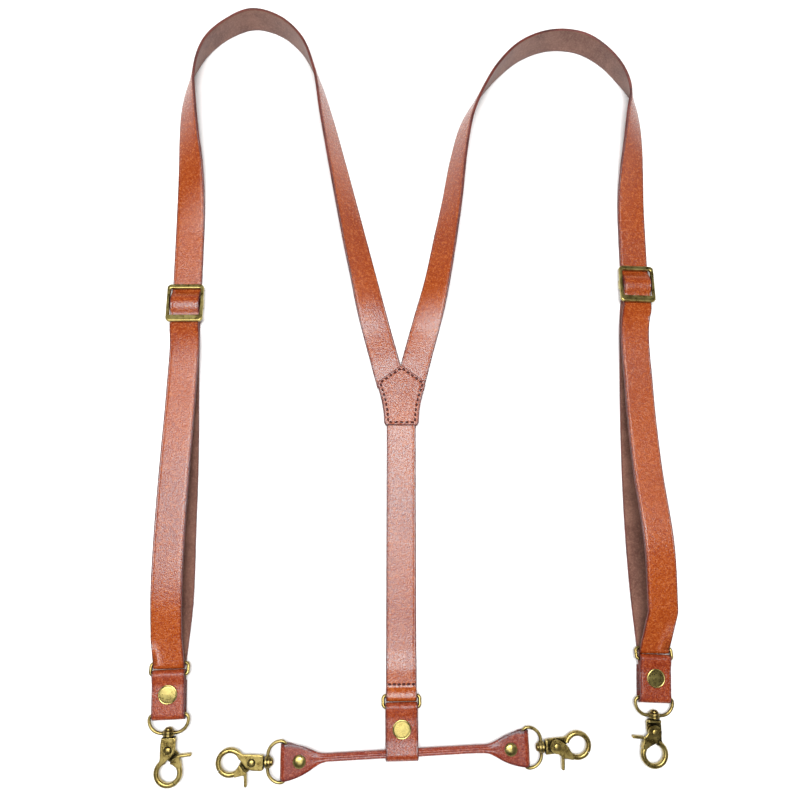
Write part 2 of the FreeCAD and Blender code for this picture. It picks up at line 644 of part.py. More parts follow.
def hook_rivet():
    half = HOOK_T / 2
    r = RIVET_R
    low = -half - 0.02
    high = half - 0.3
    top = dome_points(RIVET_HEAD_R, high + 0.25, 0.75)
    foot = [(x, -half - 0.3 - (z - half)) for x, z in dome_points(RIVET_HEAD_R, half, 0.55)]
    profile = foot[::-1] + [(RIVET_HEAD_R, low), (r, low), (r, high), (RIVET_HEAD_R, high)] + top
    return lathe(profile, (0, HOOK_PIVOT_Y, 0))


def hook_spring():
    """Torsion spring round the pivot: two turns of round wire."""
    turns = 1.8
    steps = 27
    sections = []
    for i in range(steps + 1):
        a = 2 * PI * turns * i / steps
        out = V(math.cos(a), math.sin(a), 0)
        centre = out * SPRING_R + V(0, 0, SPRING_WIRE * 1.1 * turns * i / steps)
        ring = [centre + out * (SPRING_WIRE / 2 * math.cos(b)) + V(0, 0, SPRING_WIRE / 2 * math.sin(b))
                for b in (2 * PI * k / 8 for k in range(8))]
        sections.append(Part.makePolygon(ring + [ring[0]]))
    spring = Part.makeLoft(sections, True, True)
    spring.translate(V(0, HOOK_PIVOT_Y, -1.0))
    return spring


# ---------------------------------------------------------------- cross strap
def superellipse(half_w, half_t, power, count=16):
    """Closed section outline that runs from round (power 2) to nearly square."""
    out = []
    for i in range(count):
        a = 2 * PI * (i + 0.5) / count
        c, s = math.cos(a), math.sin(a)
        out.append((half_w * math.copysign(abs(c) ** (2 / power), c),
                    half_t * math.copysign(abs(s) ** (2 / power), s)))
    return out


def flare_route(side):
    """Stations from the rolled cord out to the D-ring bar, round it and back underneath."""
    bx, by, angle = CROSS_BARS[side]
    sign = -1 if side == "left" else 1
    out_dir = V(math.sin(math.radians(angle)), -math.cos(math.radians(angle)), 0)
    across = V(-out_dir.y, out_dir.x, 0)
    slope = math.radians(CORD_SLOPE)
    cord_dir = V(math.cos(slope), math.sin(slope), 0) * sign
    cord_across = V(-cord_dir.y, cord_dir.x, 0)
    cord_end = V(0, CORD_Y, CORD_Z) + cord_dir * CORD_END
    bar = V(bx, by, CORD_Z)
    r = D_WIRE / 2 + 0.5 + FLARE_T / 2
    half_t = FLARE_T / 2
    rows = [(V(0, CORD_Y, CORD_Z) + cord_dir * 12, cord_across, CORD_R, CORD_R, 2.0),
            (cord_end, cord_across, CORD_R, CORD_R, 2.0)]
    reach = (bar - cord_end).Length
    for back, half_w, thick, lift, power in (
            (22.0, 3.3, 2.2, 0.4, 2.3), (18.0, 5.2, 1.7, 1.0, 2.8), (14.0, 7.3, 1.2, 1.6, 3.5),
            (9.0, 9.3, half_t, 1.75, 5.0), (3.6, 10.7, half_t, 1.75, 7.0)):
        centre = cord_end + (bar - cord_end) * (1 - back / reach)
        centre.z = CORD_Z + lift
        rows.append((centre, across, half_w, thick, power))
    for i in range(9):
        a = math.radians(90 - 180 * i / 8)
        turn = out_dir * (r * math.cos(a)) + V(0, 0, r * math.sin(a))
        rows.append((bar + turn, across, FLARE_HALF, half_t, 7.0))
    for back, z, half_w in ((3.2, -2.0, 10.6), (5.6, -1.0, 10.0), (13.0, -0.85, 7.5)):
        rows.append((bar - out_dir * back + V(0, 0, z), across, half_w, half_t, 6.0))
    return rows


def cross_half(side):
    rows = flare_route(side)
    wires = []
    last = len(rows) - 1
    for i, (centre, across, half_w, half_t, power) in enumerate(rows):
        along = rows[min(i + 1, last)][0] - rows[max(i - 1, 0)][0]
        normal = along.cross(across)
        normal.normalize()
        ring = [centre + across * a + normal * b for a, b in superellipse(half_w, half_t, power)]
        wires.append(Part.makePolygon(ring + [ring[0]]))
    return Part.makeLoft(wires, True, True)


def cross_rivet_place(side):
    """Rivet on the line from the D-ring's bar to the rolled cord's end."""
    bx, by, _ = CROSS_BARS[side]
    slope = math.radians(CORD_SLOPE)
    sign = -1 if side == "left" else 1
    cord_end = V(math.cos(slope), math.sin(slope), 0) * (sign * CORD_END) + V(0, CORD_Y, 0)
    line = cord_end - V(bx, by, 0)
    spot = V(bx, by, 0) + line.normalize() * CROSS_RIVET_BACK
    return spot.x, spot.y


def cross_strap():
    slope = math.radians(CORD_SLOPE)
    d = V(math.cos(slope), math.sin(slope), 0)
    strap = Part.makeCylinder(CORD_R, 26, V(0, CORD_Y, CORD_Z) - d * 13, d)
    for side in CROSS_BARS:
        x, y = cross_rivet_place(side)
        strap = strap.fuse(cross_half(side)).cut(cylinder(CROSS_HOLE_R, 20, (x, y, -5)))
    return strap


def cross_rivet(side):
    """Domed rivet that closes the flare round the D-ring, with its washer underneath."""
    low = CORD_Z - 2.95
    cap = CORD_Z + 2.75
    washer = 3.0
    shaft = CROSS_HOLE_R - SAME_GAP
    rivet = lathe([(0, low), (washer - 0.3, low), (washer, low + 0.3), (washer, low + 0.7),
                   (shaft, low + 0.7), (shaft, cap), (CROSS_RIVET_R, cap)]
                  + dome_points(CROSS_RIVET_R, cap + 0.3, 1.7))
    x, y = cross_rivet_place(side)
    rivet.translate(V(x, y, 0))
    return rivet


# ---------------------------------------------------------------- assembly
def punched(strip, snap_s):
    """Leather strip with the hole that the snap's rivet passes through."""
    return strip.cut(cylinder(POST_R + 0.1, 20, (0, -snap_s, -5)))


def build_tab(side):
    x, y, yaw = TABS[side]
    centre = side == "centre"
    fold_s = CENTRE_FOLD_S if centre else TAB_FOLD_S
    snap_s = CENTRE_SNAP_S if centre else TAB_SNAP_S
    foot_r = CORD_R + CORD_CLEAR + TAB_T / 2 if centre else (TAB_FRONT_Z - TAB_BACK_Z) / 2
    foot_z = CORD_Z if centre else D_BAR_Z
    front = tab_front(fold_s, TAB_FRONT_Z, foot_z, foot_r)
    flap = tab_flap(fold_s, foot_z, foot_r)
    save("snap_tab_" + side, place(punched(front, snap_s), x, y, 0, yaw))
    save("snap_tab_flap_" + side, place(punched(flap, snap_s), x, y, 0, yaw))
    for name, shape in (("cap", snap_cap(TAB_FRONT_Z)), ("socket", snap_socket()),
                        ("stud", snap_stud()), ("post", snap_post())):
        shape.translate(V(0, -snap_s, 0))
        save("snap_%s_%s" % (name, side), place(shape, x, y, 0, yaw))
    save("oval_ring_" + side, place(oval_ring(), x, y, TAB_BAR_Z, yaw / 2))


def build_hook(name, x, y, z, yaw, flip):
    save("d_ring_" + name, place(d_ring(), x, y, z, yaw))
    for piece, maker in (("swivel_pin", swivel_pin), ("hook_body", hook_body), ("hook_lever", hook_lever),
                         ("hook_rivet", hook_rivet), ("hook_spring", hook_spring)):
        save("%s_%s" % (piece, name), place(maker(), x, y, z, yaw, flip))


def main():
    os.makedirs("parts", exist_ok=True)
    for side in ("left", "right"):
        save("shoulder_strap_" + side, shoulder_strap(side))
        sx, sy, yaw = SLIDES[side]
        save("slide_" + side, place(slide(), sx, sy, SLIDE_MID_Z, yaw))
        save("strap_end_stitching_" + side, end_stitches(side))
    save("back_strap", back_strap())
    save("back_strap_stitching", back_strap_stitches())
    save("yoke_backing", plate_from(yoke_outline(), 0, BACKING_T, 1.6))
    save("yoke_patch", plate_from(yoke_outline(), BACKING_T + STRAP_T + 2 * SAME_GAP, PATCH_T, 1.6))
    save("yoke_stitching", yoke_stitches())
    for side in TABS:
        build_tab(side)
    for side in ("left", "right"):
        x, y, yaw = TABS[side]
        a = math.radians(yaw)
        reach = TAB_FOLD_S + D_DEPTH
        turned = side == "right"
        build_hook("front_" + side, x + reach * math.sin(a), y - reach * math.cos(a), D_BAR_Z,
                   yaw, turned)
        bx, by, angle = CROSS_BARS[side]
        c = math.radians(angle)
        build_hook("cross_" + side, bx + D_DEPTH * math.sin(c), by - D_DEPTH * math.cos(c), CORD_Z,
                   angle, turned)
        save("cross_rivet_" + side, cross_rivet(side))
    save("cross_strap", cross_strap())


main()
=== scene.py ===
import math

import bmesh
import bpy
from mathutils import Matrix, Vector


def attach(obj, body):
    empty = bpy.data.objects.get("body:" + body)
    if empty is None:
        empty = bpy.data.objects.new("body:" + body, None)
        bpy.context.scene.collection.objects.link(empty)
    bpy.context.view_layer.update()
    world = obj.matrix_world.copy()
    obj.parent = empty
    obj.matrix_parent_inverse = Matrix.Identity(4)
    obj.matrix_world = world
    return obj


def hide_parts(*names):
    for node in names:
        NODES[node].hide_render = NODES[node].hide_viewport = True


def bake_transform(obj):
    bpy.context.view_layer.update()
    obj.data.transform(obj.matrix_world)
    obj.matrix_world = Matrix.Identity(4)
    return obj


# Looks of the leather suspenders. Shapes are worked out in millimetres in the CAD
# frame (origin under the yoke's middle, +Z up from the table) and stored in metres.

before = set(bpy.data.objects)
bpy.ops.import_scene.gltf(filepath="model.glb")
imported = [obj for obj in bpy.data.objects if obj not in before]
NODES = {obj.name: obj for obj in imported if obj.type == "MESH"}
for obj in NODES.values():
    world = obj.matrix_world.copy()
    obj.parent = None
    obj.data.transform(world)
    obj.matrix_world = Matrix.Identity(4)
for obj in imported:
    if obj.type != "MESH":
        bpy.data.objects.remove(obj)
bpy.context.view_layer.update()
MM = 0.001
PI = math.pi

# ---- leather, as in the CAD ----
STRAP_W = 20.0
STRAP_T = 2.0
TAB_W = 21.0
TAB_T = 1.5
BACKING_T = 1.4
PATCH_T = 1.8
SAME_GAP = 0.05
YOKE_APEX_Y = 21.9
YOKE_SHOULDER = (17.6, 9.3)
YOKE_WAIST = (13.2, -6.3)
YOKE_FOOT = (11.9, -21.7)
YOKE_CORNER = 1.6
YOKE_ZONE_X = 0.08
YOKE_ZONE_Y = 0.06
STITCH_INSET = 2.6
STITCH_LEN = 2.4
STITCH_PITCH = 3.7
STITCH_R = 0.72
ROW_PITCH = 3.1
ROW_COUNT = 6
SEAM_RISE = 0.42
HIDDEN_SEAM_RISE = 0.30
HIDDEN_SEAM_BACK = 15.5
HIDDEN_SEAM_Z = 3.02
BACK_FOLD_Z = 3.1
SLIDES = {"left": (-151.2, 63.8), "right": (169.9, 82.1)}
RING_WIRE = 2.2
RING_CLEAR = 0.5
STRAP_BAR_Z = STRAP_T + RING_CLEAR + RING_WIRE / 2
RING_TILT = math.radians(16.5)
RING_SPACING = 7.0
TAB_BAR_Z = STRAP_BAR_Z + RING_SPACING * math.sin(RING_TILT)
RING_PLAN = RING_SPACING * math.cos(RING_TILT)
TABS = {
    "left": (-149.7, -183.4, 2.0),
    "right": (167.9, -176.6, -2.8),
    "centre": (-0.1, -204.9, 0.6),
}
TAB_FRONT_Z = 6.9
TAB_INNER_Z = 5.35
TAB_BACK_Z = 1.75
TAB_FOLD_S = 24.5
CENTRE_FOLD_S = 28.1
FLAP_END_S = 4.5
INNER_END_S = 20.0
D_BAR_Z = 4.33
D_WIRE = 2.1
CORD_R = 2.6
CORD_Z = 4.9
CORD_CLEAR = 0.7
CORD_SLOPE = math.radians(2.26)
CORD_Y = -233.0
CORD_END = 48.0
CORD_SIDES = 40
FLARE_HALF = 11.0
FLARE_T = 1.8
CROSS_BARS = {"left": (-74.0, -237.1, -90.0), "right": (79.2, -230.9, 92.0)}

# Route of each shoulder strap: the edge that lies on the table, and the strap's roll
# about it in degrees, from flat at the yoke through upright over the shoulder.
ROUTES = {
    "left": [
        (2.6, 10.0, 0), (-1.6, 25.5, 0), (-9.4, 54.5, 3), (-17.4, 84.0, 22), (-25.5, 114.0, 33),
        (-33.7, 144.5, 44), (-42.1, 175.5, 54), (-51.0, 207.0, 65), (-62.0, 239.0, 82),
        (-75.0, 262.5, 91), (-91.0, 275.7, 94), (-110.5, 280.2, 95), (-128.0, 273.3, 90),
        (-143.2, 259.8, 86), (-156.0, 236.5, 70), (-161.2, 212.0, 50), (-161.8, 188.4, 37),
        (-161.3, 165.0, 22), (-161.2, 140.0, 8), (-161.2, 115.0, 0), (-161.2, 95.0, 0),
    ],
    "right": [
        (-3.4, 10.0, 0), (0.5, 25.6, 0), (8.4, 54.7, 8), (17.1, 84.5, 30), (23.8, 114.8, 40),
        (30.7, 145.8, 51), (36.9, 177.3, 61), (47.0, 209.7, 73), (58.3, 228.0, 83),
        (72.6, 245.4, 93), (91.0, 261.0, 99), (115.0, 269.7, 99), (136.0, 267.8, 97),
        (153.2, 257.8, 91), (165.6, 244.4, 84), (176.5, 228.0, 64), (180.0, 211.0, 46),
        (181.1, 192.0, 33), (180.7, 168.0, 17), (180.0, 145.0, 5), (179.9, 113.0, 0),
    ],
}
# Front layer between slide and oval ring, as (share of the way, sideways shift, height).
BOWS = {
    "left": [(0.09, 0.7, 6.2), (0.25, 1.2, 9.5), (0.48, 0.0, 13.5), (0.68, -1.0, 15.2),
             (0.83, -1.2, 14.4), (0.93, -1.3, 9.5)],
    "right": [(0.09, -1.8, 6.5), (0.30, -4.0, 10.5), (0.52, -3.4, 17.0), (0.74, -0.4, 24.0),
              (0.90, 2.4, 17.5)],
}
# Return layer on the table, as (share of the way, sideways shift), from the ring up.
RETURNS = {
    "left": [(0.85, 2.9), (0.65, 2.9), (0.45, 2.6), (0.25, 1.0), (0.09, 0.0)],
    "right": [(0.85, -3.0), (0.65, -4.9), (0.45, -4.9), (0.25, -3.6), (0.09, -1.8)],
}
FOLD_SHIFT = {"left": -0.35, "right": 0.2}
SLIDE_L = 27.9
# Half thickness of the pared leather round the slide's bar and at the strap's end.
WRAP_HALF = 0.5
SKIVED_HALF = 0.45
# Strap end sewn under the slide, as (distance below the slide's middle, height).
STRAP_END_RUN = [(1.5, 5.25), (5.0, 3.6), (8.0, 2.65), (17.0, 2.6)]
# Middle line through the slide, as (distance above the slide's middle, height).
SLIDE_RUN = [(16.5, 1.05), (12.5, 1.2), (9.0, 2.2), (4.0, 5.9), (0.5, 6.95),
             (-3.5, 6.4), (-7.0, 4.9), (-9.5, 4.45), (-12.5, 4.4), (-16.5, 5.1)]


# ---------------------------------------------------------------- materials
def lin(r, g, b):
    """sRGB 0..255 to a linear colour."""
    out = []
    for c in (r, g, b):
        c /= 255
        out.append(c / 12.92 if c <= 0.04045 else ((c + 0.055) / 1.055) ** 2.4)
    return (*out, 1.0)


class Nodes:
    """Short-hand for building one material's node tree."""

    def __init__(self, name):
        self.mat = bpy.data.materials.new(name)
        self.mat.use_nodes = True
        self.tree = self.mat.node_tree
        self.shader = self.tree.nodes["Principled BSDF"]
        self.coord = self.add("ShaderNodeTexCoord").outputs["Object"]

    def add(self, kind, inputs=(), **props):
        node = self.tree.nodes.new(kind)
        for key, value in props.items():
            setattr(node, key, value)
        for key, value in dict(inputs).items():
            self.feed(node.inputs[key], value)
        return node

    def feed(self, socket, value):
        if isinstance(value, bpy.types.NodeSocket):
            self.tree.links.new(value, socket)
        else:
            socket.default_value = value

    def noise(self, scale, detail=3.0, rough=0.55, coord=None, distort=0.0):
        node = self.add("ShaderNodeTexNoise", {
            "Vector": coord or self.coord, "Scale": scale, "Detail": detail,
            "Roughness": rough, "Distortion": distort})
        return node.outputs["Fac"]

    def cells(self, scale, feature="F1"):
        node = self.add("ShaderNodeTexVoronoi", {"Vector": self.coord, "Scale": scale}, feature=feature)
        return node.outputs["Distance"]

    def remap(self, value, low, high, to_low=0.0, to_high=1.0):
        node = self.add("ShaderNodeMapRange", {
            "Value": value, "From Min": low, "From Max": high, "To Min": to_low, "To Max": to_high},
            clamp=True, interpolation_type="SMOOTHSTEP")
        return node.outputs["Result"]

    def math(self, op, a, b=0.0):
        node = self.add("ShaderNodeMath", operation=op)
        self.feed(node.inputs[0], a)
        self.feed(node.inputs[1], b)
        return node.outputs[0]

    def mix(self, fac, a, b, blend="MIX"):
        node = self.add("ShaderNodeMix", data_type="RGBA", blend_type=blend)
        self.feed(node.inputs["Factor"], fac)
        self.feed(node.inputs["A"], a)
        self.feed(node.inputs["B"], b)
        return node.outputs["Result"]

    def bump(self, height, strength, distance, normal=None):
        node = self.add("ShaderNodeBump", {"Height": height, "Strength": strength, "Distance": distance})
        if normal:
            self.feed(node.inputs["Normal"], normal)
        return node.outputs["Normal"]

    def attribute(self, name):
        return self.add("ShaderNodeAttribute", attribute_name=name).outputs["Fac"]

    def finish(self, colour, rough, normal=None, **fixed):
        self.feed(self.shader.inputs["Base Color"], colour)
        self.feed(self.shader.inputs["Roughness"], rough)
        if normal:
            self.feed(self.shader.inputs["Normal"], normal)
        for key, value in fixed.items():
            self.shader.inputs[key.replace("_", " ")].default_value = value
        return self.mat


def leather(name, base, dark, pale, grain=1.0, rough=(0.20, 0.29), edge_mm=1.5, cloudy=0.5, gloss=0.62):
    """Waxed grain-side leather: faintly cloudy dye, fine pebble grain, dark burnished rims."""
    n = Nodes(name)
    cloud = n.noise(17.0, 3.0, 0.5)
    fine = n.noise(520.0, 3.0, 0.6)
    speck = n.noise(1150.0, 2.0, 0.6)
    pores = n.cells(1500.0)
    tone = n.mix(n.remap(cloud, 0.66, 0.34, 0.0, cloudy), base, dark)
    tone = n.mix(n.remap(fine, 0.50, 0.66, 0.0, 0.45), tone, pale)
    tone = n.mix(n.remap(speck, 0.52, 0.64, 0.0, 0.60), tone, pale)
    tone = n.mix(n.remap(speck, 0.48, 0.36, 0.0, 0.65), tone, dark)
    rim = n.attribute("rim")
    worn = n.math("ADD", rim, n.math("MULTIPLY", n.math("SUBTRACT", fine, 0.5), 1.2))
    tone = n.mix(n.remap(worn, edge_mm, 0.25, 0.0, 0.85), tone, lin(78, 16, 12))
    height = n.math("ADD", n.math("MULTIPLY", pores, 0.7), n.math("MULTIPLY", fine, 0.8))
    height = n.math("ADD", height, speck)
    normal = n.bump(height, 0.52 * grain, 0.00026)
    shine = n.remap(n.math("ADD", fine, n.math("MULTIPLY", speck, 0.5)), 0.55, 0.95, rough[0], rough[1])
    n.shader.inputs["Specular Tint"].default_value = (0.62, 0.92, 1.0, 1.0)
    return n.finish(tone, shine, normal, Specular_IOR_Level=gloss)


def flesh_side():
    n = Nodes("leather_flesh_side")
    fibre = n.noise(700.0, 6.0, 0.7, distort=0.6)
    cloud = n.noise(60.0, 3.0)
    tone = n.mix(n.remap(cloud, 0.3, 0.7), lin(88, 50, 39), lin(116, 77, 63))
    tone = n.mix(n.remap(fibre, 0.40, 0.70, 0.0, 0.55), tone, lin(150, 112, 94))
    tone = n.mix(n.remap(n.attribute("rim"), 0.9, 0.2, 0.0, 0.6), tone, lin(84, 28, 20))
    return n.finish(tone, n.remap(fibre, 0.3, 0.7, 0.72, 0.9), n.bump(fibre, 0.5, 0.0003),
                    Specular_IOR_Level=0.3, Sheen_Weight=0.2, Sheen_Roughness=0.6)


def cut_edge():
    n = Nodes("leather_burnished_edge")
    fibre = n.noise(900.0, 5.0, 0.65)
    streak = n.noise(90.0, 3.0)
    tone = n.mix(n.remap(streak, 0.3, 0.7), lin(62, 18, 14), lin(104, 38, 28))
    tone = n.mix(n.remap(fibre, 0.45, 0.75, 0.0, 0.4), tone, lin(140, 78, 62))
    return n.finish(tone, n.remap(fibre, 0.3, 0.7, 0.38, 0.58), n.bump(fibre, 0.3, 0.0002),
                    Specular_IOR_Level=0.5)


def thread():
    n = Nodes("waxed_thread")
    wave = {"Vector": n.coord, "Scale": 900.0, "Distortion": 1.5, "Detail": 2.0}
    ply = n.add("ShaderNodeTexWave", wave, bands_direction="DIAGONAL").outputs["Fac"]
    fuzz = n.noise(2600.0, 3.0)
    tone = n.mix(ply, lin(40, 7, 9), lin(74, 15, 14))
    return n.finish(tone, n.remap(fuzz, 0.3, 0.7, 0.45, 0.65), n.bump(ply, 0.4, 0.00012),
                    Specular_IOR_Level=0.4)


def brass(name, bright, base, dark, rough=(0.24, 0.46), recess=0.0016, wear=0.35, brush=0.0):
    """Antique brass: dark patina and painted shade in recesses found by occlusion, rubbed bright on
    rims, with fine mottling.
    """
    n = Nodes(name)
    stain = n.noise(230.0, 5.0, 0.62)
    pits = n.noise(1100.0, 4.0, 0.65)
    patina_and_shade = n.add("ShaderNodeAmbientOcclusion", {"Distance": recess}, samples=6)
    soft = n.add("ShaderNodeBevel", {"Radius": 0.00045}, samples=4).outputs["Normal"]
    plain = n.add("ShaderNodeNewGeometry").outputs["Normal"]
    turn = n.add("ShaderNodeVectorMath", {0: soft, 1: plain}, operation="DOT_PRODUCT").outputs["Value"]
    rubbed = n.remap(turn, 0.995, 0.86, 0.0, 1.0)
    tone = n.mix(n.remap(stain, 0.34, 0.68, 0.0, 0.6), base, bright)
    tone = n.mix(n.remap(pits, 0.54, 0.76, 0.0, 0.35), tone, dark)
    tone = n.mix(n.remap(stain, 0.44, 0.30, 0.0, 0.35), tone, dark)
    # Darkened where occlusion finds a recess: partly the brass's patina, partly painted shade in slots
    # and in gaps between parts.
    tone = n.mix(n.remap(patina_and_shade.outputs["AO"], 0.95, 0.66, 0.0, 0.97), tone, dark)
    tone = n.mix(n.math("MULTIPLY", rubbed, wear), tone, bright)
    height = n.math("ADD", n.math("MULTIPLY", pits, 0.6), n.math("MULTIPLY", stain, 0.5))
    if brush:
        lines = n.add("ShaderNodeMapping", {"Vector": n.coord, "Scale": (60.0, 2200.0, 2200.0)})
        scratches = n.noise(1.0, 2.0, coord=lines.outputs[0])
        height = n.math("ADD", height, n.math("MULTIPLY", scratches, brush))
    gloss = n.remap(n.math("ADD", pits, stain), 0.75, 1.25, rough[0], rough[1])
    return n.finish(tone, gloss, n.bump(height, 0.22, 0.00012), Metallic=1.0, Specular_IOR_Level=0.5)


def steel():
    n = Nodes("spring_wire")
    fine = n.noise(1400.0, 3.0)
    tone = n.mix(n.remap(fine, 0.35, 0.7), lin(120, 118, 112), lin(186, 184, 178))
    return n.finish(tone, n.remap(fine, 0.3, 0.7, 0.22, 0.4), n.bump(fine, 0.15, 0.0001), Metallic=1.0)


STRAP_GRAIN = leather("leather_strap", lin(154, 67, 16), lin(114, 30, 10), lin(186, 102, 46))
PATCH_GRAIN = leather("leather_patch", lin(156, 70, 28), lin(114, 36, 18), lin(192, 114, 70), grain=1.5,
                      edge_mm=1.6)
TAB_GRAIN = leather("leather_tab", lin(138, 52, 18), lin(98, 24, 10), lin(176, 88, 44), grain=1.3,
                    edge_mm=1.8, gloss=0.5)
CROSS_GRAIN = leather("leather_cross", lin(134, 48, 24), lin(98, 26, 14), lin(168, 86, 54),
                      edge_mm=2.4, gloss=0.5)
FLESH = flesh_side()
EDGE = cut_edge()
THREAD = thread()
# Dark for pits, stains and recesses; in recesses it also stands for painted shade.
BRASS_DARK = lin(46, 36, 18)
BRASS_SLIDE = brass("antique_brass_slide", lin(196, 182, 118), lin(146, 130, 72), BRASS_DARK,
                    rough=(0.26, 0.40), wear=0.55)
BRASS_WIRE = brass("antique_brass_wire", lin(186, 168, 108), lin(134, 116, 66), BRASS_DARK, wear=0.4)
BRASS_CAP = brass("antique_brass_cap", lin(178, 164, 102), lin(150, 136, 80), lin(92, 76, 40),
                  rough=(0.24, 0.36), wear=0.45, brush=0.3)
# The hook's near-black dark colour and wider recess reach paint shade into its slots and the gaps
# between its parts; the same colour darkens its pits and stains.
BRASS_HOOK = brass("antique_brass_hook", lin(190, 172, 108), lin(138, 118, 64), lin(14, 11, 7),
                   rough=(0.24, 0.38), recess=0.0028, wear=0.75)
STEEL = steel()


# ---------------------------------------------------------------- mesh helpers
def smooth_curve(points, per_span):
    """Smooth curve through points of any number of coordinates, even where spans differ in length."""
    spans = [max(math.dist(a[:2], b[:2]), 0.01) for a, b in zip(points, points[1:])]
    slopes = [tuple((v - u) / h for u, v in zip(a, b)) for a, b, h in zip(points, points[1:], spans)]
    tangents = [slopes[0]]
    for before, after, h0, h1 in zip(slopes, slopes[1:], spans, spans[1:]):
        tangents.append(tuple((h1 * u + h0 * v) / (h0 + h1) for u, v in zip(before, after)))
    tangents.append(slopes[-1])
    out = []
    for i, h in enumerate(spans):
        for k in range(per_span):
            t = k / per_span
            out.append(tuple(
                a * (2 * t ** 3 - 3 * t ** 2 + 1) + b * (3 * t ** 2 - 2 * t ** 3)
                + h * (m * (t ** 3 - 2 * t ** 2 + t) + n * (t ** 3 - t ** 2))
                for a, b, m, n in zip(points[i], points[i + 1], tangents[i], tangents[i + 1])))
    out.append(tuple(points[-1]))
    return out


def arc_points(centre_y, centre_z, radius, start, end, steps):
    """Points (y, z) on an arc, angles in degrees from local +Y towards +Z."""
    out = []
    for i in range(steps + 1):
        a = math.radians(start + (end - start) * i / steps)
        out.append((centre_y + radius * math.cos(a), centre_z + radius * math.sin(a)))
    return out


def new_object(name, verts, faces, slots, mats, rim=None):
    """Mesh object in metres from millimetre points, with a material index per face."""
    mesh = bpy.data.meshes.new(name)
    mesh.from_pydata([tuple(c * MM for c in v) for v in verts], [], faces)
    for mat in mats:
        mesh.materials.append(mat)
    mesh.polygons.foreach_set("material_index", slots)
    mesh.polygons.foreach_set("use_smooth", [True] * len(faces))
    if rim:
        mesh.attributes.new("rim", "FLOAT", "POINT").data.foreach_set("value", rim)
    mesh.update()
    obj = bpy.data.objects.new(name, mesh)
    bpy.context.scene.collection.objects.link(obj)
    return obj


def outward(obj):
    """Face normals made consistent and pointing out."""
    bm = bmesh.new()
    bm.from_mesh(obj.data)
    bmesh.ops.recalc_face_normals(bm, faces=bm.faces)
    bm.to_mesh(obj.data)
    bm.free()


def strip_profile(half_w, half_t, crease=0.14):
    """Section of a leather strip: (across, height, face slot after it)."""
    r = min(0.55, half_t * 0.75)
    inner = [0.93, 0.8, 0.6, 0.4, 0.2, 0.0]
    top = [(half_w, 0.0, 1), (half_w - 0.05, half_t - r, 1), (half_w - r * 0.35, half_t - r * 0.28, 0),
           (half_w - r, half_t, 0), (half_w - 1.05, half_t, 0), (half_w - 1.35, half_t - crease, 0),
           (half_w - 1.65, half_t, 0)]
    flat = half_w - 2.1
    top += [(flat * s, half_t, 0) for s in inner]
    left = [(-a, b, s) for a, b, s in top[:-1]][::-1]
    left = [(a, b, 0 if i < len(left) - 3 else 1) for i, (a, b, _) in enumerate(left)]
    under = [(-half_w + 0.05, -half_t + r, 1), (-half_w + r * 0.5, -half_t + r * 0.2, 2),
             (-half_w + r * 1.2, -half_t, 2)]
    under += [(-flat * s, -half_t, 2) for s in inner[:-1]] + [(0.0, -half_t, 2)]
    under += [(flat * s, -half_t, 2) for s in inner[:-1][::-1]]
    under += [(half_w - r * 1.2, -half_t, 2), (half_w - r * 0.5, -half_t + r * 0.2, 2),
              (half_w - 0.05, -half_t + r, 1)]
    return top + left + under


def sweep(name, stations, mats):
    """Closed strip through (centre, across, half width, half thickness) stations."""
    verts, faces, slots, rim = [], [], [], []
    last = len(stations) - 1
    count = 0
    for i, (centre, across, half_w, half_t) in enumerate(stations):
        along = stations[min(i + 1, last)][0] - stations[max(i - 1, 0)][0]
        normal = along.cross(across).normalized()
        across = normal.cross(along).normalized()
        shape = strip_profile(half_w, half_t)
        count = len(shape)
        for a, b, slot in shape:
            verts.append(centre + across * a + normal * b)
            rim.append(max(0.0, half_w - abs(a)))
        if i < last:
            base = i * count
            for k in range(count):
                after = (k + 1) % count
                faces.append((base + k, base + after, base + count + after, base + count + k))
                slots.append(shape[k][2])
    for ring, flip in ((0, True), (last, False)):
        cap = [ring * count + k for k in range(count)]
        faces.append(tuple(cap[::-1] if flip else cap))
        slots.append(1)
    obj = new_object(name, verts, faces, slots, mats, rim)
    outward(obj)
    obj.data.polygons[-1].use_smooth = False
    obj.data.polygons[-2].use_smooth = False
    return obj


def moved(stations, x, y, yaw):
    """Local stations placed at (x, y) and turned about +Z."""
    turn = Matrix.Rotation(math.radians(yaw), 3, "Z")
    return [(turn @ c + Vector((x, y, 0)), turn @ a, w, t) for c, a, w, t in stations]


def strip_yz(points, half_w, half_t):
    """Sections of a strip that runs in the local YZ plane."""
    return [(Vector((0, y, z)), Vector((1, 0, 0)), half_w, half_t) for y, z in points]


def piece(obj, body, slot, *nodes):
    """Makes obj stand for CAD nodes and, unless it bends between bodies, ride on one."""
    if body:
        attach(obj, body)
    if nodes:
        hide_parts(*nodes)
    return obj


LEATHER_MATS = (STRAP_GRAIN, EDGE, FLESH)
TAB_MATS = (TAB_GRAIN, EDGE, FLESH)


